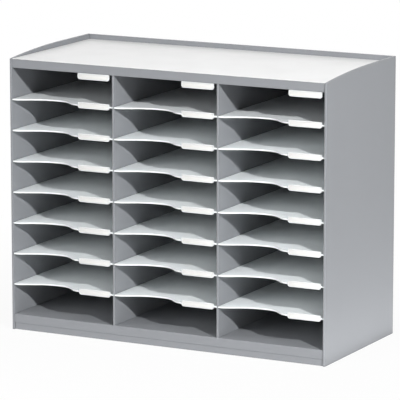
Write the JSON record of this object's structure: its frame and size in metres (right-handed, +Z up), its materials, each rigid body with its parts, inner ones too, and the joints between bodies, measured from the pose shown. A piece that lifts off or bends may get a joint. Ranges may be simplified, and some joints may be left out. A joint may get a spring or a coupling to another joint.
{
  "type": "pigeonhole mail sorter",
  "caption": "Desktop pigeonhole mail sorter: grey housing in columns, removable white shelves with finger notches and label holders, and a rimmed top.",
  "frame": {"origin": "middle of the footprint, on the surface that the sorter stands on", "axes": "+X along the width to the viewer's right, the open front faces -Y, +Z up"},
  "size_m": [0.723, 0.331, 0.583],
  "materials": {
    "housing": "light grey moulded plastic, satin, with a white upper face on the top panel",
    "shelves": "white sheet plastic, satin",
    "label_holders": "white plastic frame with a blank white card",
    "screws": "zinc-plated steel"
  },
  "bodies": {
    "housing": {"side_panel_left": "housing", "side_panel_right": "housing", "divider_left": "housing", "divider_right": "housing", "top_panel": "housing", "base_panel": "housing", "plinth_front": "housing", "plinth_rear": "housing", "back_panel": "housing", "back_panel_screws": "screws", "label_holder_left_top": "label_holders", "label_holder_middle_top": "label_holders", "label_holder_right_top": "label_holders"},
    "left_shelf_1": {"shelf_left_1": "shelves", "label_holder_left_1": "label_holders"},
    "left_shelf_2": {"shelf_left_2": "shelves", "label_holder_left_2": "label_holders"},
    "left_shelf_3": {"shelf_left_3": "shelves", "label_holder_left_3": "label_holders"},
    "left_shelf_4": {"shelf_left_4": "shelves", "label_holder_left_4": "label_holders"},
    "left_shelf_5": {"shelf_left_5": "shelves", "label_holder_left_5": "label_holders"},
    "left_shelf_6": {"shelf_left_6": "shelves", "label_holder_left_6": "label_holders"},
    "left_shelf_7": {"shelf_left_7": "shelves", "label_holder_left_7": "label_holders"},
    "middle_shelf_1": {"shelf_middle_1": "shelves", "label_holder_middle_1": "label_holders"},
    "middle_shelf_2": {"shelf_middle_2": "shelves", "label_holder_middle_2": "label_holders"},
    "middle_shelf_3": {"shelf_middle_3": "shelves", "label_holder_middle_3": "label_holders"},
    "middle_shelf_4": {"shelf_middle_4": "shelves", "label_holder_middle_4": "label_holders"},
    "middle_shelf_5": {"shelf_middle_5": "shelves", "label_holder_middle_5": "label_holders"},
    "middle_shelf_6": {"shelf_middle_6": "shelves", "label_holder_middle_6": "label_holders"},
    "middle_shelf_7": {"shelf_middle_7": "shelves", "label_holder_middle_7": "label_holders"},
    "right_shelf_1": {"shelf_right_1": "shelves", "label_holder_right_1": "label_holders"},
    "right_shelf_2": {"shelf_right_2": "shelves", "label_holder_right_2": "label_holders"},
    "right_shelf_3": {"shelf_right_3": "shelves", "label_holder_right_3": "label_holders"},
    "right_shelf_4": {"shelf_right_4": "shelves", "label_holder_right_4": "label_holders"},
    "right_shelf_5": {"shelf_right_5": "shelves", "label_holder_right_5": "label_holders"},
    "right_shelf_6": {"shelf_right_6": "shelves", "label_holder_right_6": "label_holders"},
    "right_shelf_7": {"shelf_right_7": "shelves", "label_holder_right_7": "label_holders"}
  },
  "joints": [
    {"name": "left_shelf_1_slide", "type": "slide", "parent": "housing", "child": "left_shelf_1", "axis": [0, -1, 0], "range_m": [0, 0.335]},
    {"name": "left_shelf_2_slide", "type": "slide", "parent": "housing", "child": "left_shelf_2", "axis": [0, -1, 0], "range_m": [0, 0.335]},
    {"name": "left_shelf_3_slide", "type": "slide", "parent": "housing", "child": "left_shelf_3", "axis": [0, -1, 0], "range_m": [0, 0.335]},
    {"name": "left_shelf_4_slide", "type": "slide", "parent": "housing", "child": "left_shelf_4", "axis": [0, -1, 0], "range_m": [0, 0.335]},
    {"name": "left_shelf_5_slide", "type": "slide", "parent": "housing", "child": "left_shelf_5", "axis": [0, -1, 0], "range_m": [0, 0.335]},
    {"name": "left_shelf_6_slide", "type": "slide", "parent": "housing", "child": "left_shelf_6", "axis": [0, -1, 0], "range_m": [0, 0.335]},
    {"name": "left_shelf_7_slide", "type": "slide", "parent": "housing", "child": "left_shelf_7", "axis": [0, -1, 0], "range_m": [0, 0.335]},
    {"name": "middle_shelf_1_slide", "type": "slide", "parent": "housing", "child": "middle_shelf_1", "axis": [0, -1, 0], "range_m": [0, 0.335]},
    {"name": "middle_shelf_2_slide", "type": "slide", "parent": "housing", "child": "middle_shelf_2", "axis": [0, -1, 0], "range_m": [0, 0.335]},
    {"name": "middle_shelf_3_slide", "type": "slide", "parent": "housing", "child": "middle_shelf_3", "axis": [0, -1, 0], "range_m": [0, 0.335]},
    {"name": "middle_shelf_4_slide", "type": "slide", "parent": "housing", "child": "middle_shelf_4", "axis": [0, -1, 0], "range_m": [0, 0.335]},
    {"name": "middle_shelf_5_slide", "type": "slide", "parent": "housing", "child": "middle_shelf_5", "axis": [0, -1, 0], "range_m": [0, 0.335]},
    {"name": "middle_shelf_6_slide", "type": "slide", "parent": "housing", "child": "middle_shelf_6", "axis": [0, -1, 0], "range_m": [0, 0.335]},
    {"name": "middle_shelf_7_slide", "type": "slide", "parent": "housing", "child": "middle_shelf_7", "axis": [0, -1, 0], "range_m": [0, 0.335]},
    {"name": "right_shelf_1_slide", "type": "slide", "parent": "housing", "child": "right_shelf_1", "axis": [0, -1, 0], "range_m": [0, 0.335]},
    {"name": "right_shelf_2_slide", "type": "slide", "parent": "housing", "child": "right_shelf_2", "axis": [0, -1, 0], "range_m": [0, 0.335]},
    {"name": "right_shelf_3_slide", "type": "slide", "parent": "housing", "child": "right_shelf_3", "axis": [0, -1, 0], "range_m": [0, 0.335]},
    {"name": "right_shelf_4_slide", "type": "slide", "parent": "housing", "child": "right_shelf_4", "axis": [0, -1, 0], "range_m": [0, 0.335]},
    {"name": "right_shelf_5_slide", "type": "slide", "parent": "housing", "child": "right_shelf_5", "axis": [0, -1, 0], "range_m": [0, 0.335]},
    {"name": "right_shelf_6_slide", "type": "slide", "parent": "housing", "child": "right_shelf_6", "axis": [0, -1, 0], "range_m": [0, 0.335]},
    {"name": "right_shelf_7_slide", "type": "slide", "parent": "housing", "child": "right_shelf_7", "axis": [0, -1, 0], "range_m": [0, 0.335]}
  ]
}
